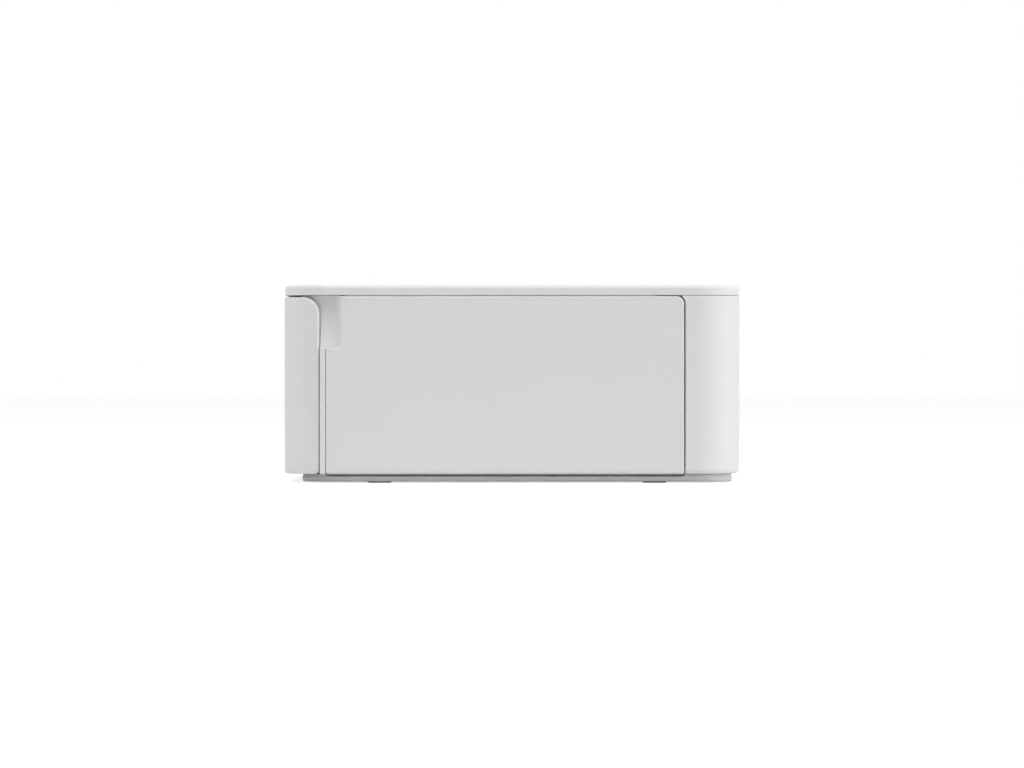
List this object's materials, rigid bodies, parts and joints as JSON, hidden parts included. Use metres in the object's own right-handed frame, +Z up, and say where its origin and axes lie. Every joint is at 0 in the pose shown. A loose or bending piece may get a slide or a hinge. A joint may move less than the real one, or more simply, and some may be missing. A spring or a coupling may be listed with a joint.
{
  "type": "compact photo printer",
  "caption": "Compact desktop photo printer with a fold-down front cover, side ink door, top screen, sprung keys, and a roller, ribbon and thermal head mechanism inside.",
  "frame": {"origin": "middle of the footprint, on the surface the feet stand on", "axes": "+X to the printer's right side (the ink door), front cover towards -Y, +Z up"},
  "size_m": [0.1822, 0.133, 0.0576],
  "materials": {
    "white_shell": "satin",
    "base_plastic": "satin",
    "liner_plastic": "satin",
    "key_white": "semi-gloss",
    "black_lens": "high gloss",
    "black_plastic": "fine texture",
    "foot_rubber": "matte",
    "roller_rubber": "ground",
    "steel": "plated",
    "aluminium": "anodised",
    "circuit_board": "solder resist",
    "brass": "machined",
    "nylon": "moulded",
    "ink": "film",
    "cable": "satin",
    "lever_plastic": "satin"
  },
  "bodies": {
    "casing": {"top_plate": "white_shell", "main_housing": "white_shell", "base_pan": "base_plastic", "feet": "foot_rubber", "front_frame": "white_shell", "hinge_pins": "steel", "bay_liner": "liner_plastic", "screen_lens": "black_lens", "screen_module": "black_plastic", "control_board": "circuit_board", "key_switches": "steel", "dpad_bracket": "liner_plastic", "chassis_left": "steel", "chassis_right": "steel", "chassis_floor": "steel", "tie_bars": "steel", "shaft_bushes": "nylon", "paper_guide": "black_plastic", "ink_cassette": "black_plastic", "ink_film": "ink", "gear_plate": "steel", "feed_motor": "steel", "ribbon_motor": "steel", "fan_frame": "black_plastic", "main_boards": "circuit_board", "power_board": "circuit_board", "io_ports": "steel", "dc_jack": "black_plastic", "battery_cover": "white_shell", "flat_cables": "cable", "case_screws": "steel"},
    "front_cover": {"front_cover": "white_shell"},
    "ink_door": {"ink_door": "white_shell"},
    "power_button": {"power_button": "key_white"},
    "print_button": {"print_button": "key_white"},
    "ok_button": {"ok_button": "key_white"},
    "back_button": {"back_button": "key_white"},
    "menu_button": {"menu_button": "key_white"},
    "dpad_gimbal": {"dpad_gimbal": "liner_plastic"},
    "dpad_ring": {"dpad_ring": "key_white"},
    "eject_lever": {"eject_lever": "lever_plastic"},
    "print_head": {"thermal_head": "black_plastic", "heat_sink": "aluminium", "head_bracket": "steel"},
    "platen": {"platen_roller": "roller_rubber", "platen_shaft": "steel"},
    "feed": {"feed_roller": "steel", "feed_gear": "nylon"},
    "pinch": {"pinch_roller": "roller_rubber"},
    "pickup": {"pickup_roller": "roller_rubber", "pickup_shaft": "steel"},
    "idler": {"idler_gear": "nylon"},
    "feed_pinion": {"feed_pinion": "brass"},
    "ribbon_pinion": {"ribbon_pinion": "brass"},
    "takeup": {"takeup_spool": "nylon", "takeup_film": "ink", "takeup_gear": "nylon"},
    "supply": {"supply_spool": "nylon", "supply_film": "ink"},
    "fan": {"fan_rotor": "black_plastic"}
  },
  "joints": [
    {"name": "front_cover_hinge", "type": "hinge", "parent": "casing", "child": "front_cover", "pos_m": [0, -0.0633, 0.0043], "axis": [1, 0, 0], "range_deg": [0, 90]},
    {"name": "ink_door_hinge", "type": "hinge", "parent": "casing", "child": "ink_door", "pos_m": [0.0888, 0.04395, 0.028], "axis": [0, 0, 1], "range_deg": [0, 90]},
    {"name": "power_press", "type": "slide", "parent": "casing", "child": "power_button", "axis": [0, 0, -1], "range_m": [0, 0.0004], "stiffness_N_per_m": 500, "springref_m": -0.0003},
    {"name": "print_press", "type": "slide", "parent": "casing", "child": "print_button", "axis": [0, 0, -1], "range_m": [0, 0.0004], "stiffness_N_per_m": 500, "springref_m": -0.0003},
    {"name": "ok_press", "type": "slide", "parent": "casing", "child": "ok_button", "axis": [0, 0, -1], "range_m": [0, 0.0004], "stiffness_N_per_m": 500, "springref_m": -0.0003},
    {"name": "back_press", "type": "slide", "parent": "casing", "child": "back_button", "axis": [0, 0, -1], "range_m": [0, 0.0004], "stiffness_N_per_m": 500, "springref_m": -0.0003},
    {"name": "menu_press", "type": "slide", "parent": "casing", "child": "menu_button", "axis": [0, 0, -1], "range_m": [0, 0.0004], "stiffness_N_per_m": 500, "springref_m": -0.0003},
    {"name": "dpad_tilt_updown", "type": "hinge", "parent": "casing", "child": "dpad_gimbal", "pos_m": [0.055, -0.002, 0.0533], "axis": [1, 0, 0], "range_deg": [-2, 2], "stiffness_Nm_per_rad": 0.1},
    {"name": "dpad_tilt_sides", "type": "hinge", "parent": "dpad_gimbal", "child": "dpad_ring", "pos_m": [0.055, -0.002, 0.0533], "axis": [0, 1, 0], "range_deg": [-2, 2], "stiffness_Nm_per_rad": 0.1},
    {"name": "eject_lever_hinge", "type": "hinge", "parent": "casing", "child": "eject_lever", "pos_m": [0.082, 0.0374, 0.036], "axis": [1, 0, 0], "range_deg": [0, 20], "stiffness_Nm_per_rad": 0.01, "springref_deg": -11.46},
    {"name": "head_lift", "type": "slide", "parent": "casing", "child": "print_head", "axis": [0, 0, -1], "range_m": [0, 0.0042], "stiffness_N_per_m": 300, "springref_m": -0.003},
    {"name": "platen_spin", "type": "hinge", "parent": "casing", "child": "platen", "pos_m": [0, 0.001, 0.0132], "axis": [1, 0, 0], "continuous": true},
    {"name": "feed_spin", "type": "hinge", "parent": "casing", "child": "feed", "pos_m": [0, 0.037, 0.0152], "axis": [1, 0, 0], "continuous": true},
    {"name": "pinch_spin", "type": "hinge", "parent": "casing", "child": "pinch", "pos_m": [0, 0.037, 0.0234], "axis": [1, 0, 0], "continuous": true},
    {"name": "pickup_spin", "type": "hinge", "parent": "casing", "child": "pickup", "pos_m": [0, -0.038, 0.0239], "axis": [1, 0, 0], "continuous": true},
    {"name": "idler_spin", "type": "hinge", "parent": "casing", "child": "idler", "pos_m": [-0.0635, 0.018, 0.0152], "axis": [1, 0, 0], "continuous": true},
    {"name": "feed_pinion_spin", "type": "hinge", "parent": "casing", "child": "feed_pinion", "pos_m": [-0.0635, 0.01574, 0.028], "axis": [1, 0, 0], "continuous": true},
    {"name": "ribbon_pinion_spin", "type": "hinge", "parent": "casing", "child": "ribbon_pinion", "pos_m": [-0.0635, -0.0276, 0.01901], "axis": [1, 0, 0], "continuous": true},
    {"name": "takeup_spin", "type": "hinge", "parent": "casing", "child": "takeup", "pos_m": [0, -0.019, 0.0313], "axis": [1, 0, 0], "continuous": true},
    {"name": "supply_spin", "type": "hinge", "parent": "casing", "child": "supply", "pos_m": [0, 0.021, 0.0313], "axis": [1, 0, 0], "continuous": true},
    {"name": "fan_spin", "type": "hinge", "parent": "casing", "child": "fan", "pos_m": [-0.0645, 0.0595, 0.0325], "axis": [0, 1, 0], "continuous": true}
  ],
  "couplings": [
    {"joint": "idler_spin", "follows": "feed_spin", "ratio": -0.9},
    {"joint": "feed_pinion_spin", "follows": "feed_spin", "ratio": 3},
    {"joint": "pinch_spin", "follows": "feed_spin", "ratio": -1},
    {"joint": "ribbon_pinion_spin", "follows": "takeup_spin", "ratio": -4},
    {"joint": "supply_spin", "follows": "takeup_spin", "ratio": 0.76471}
  ]
}
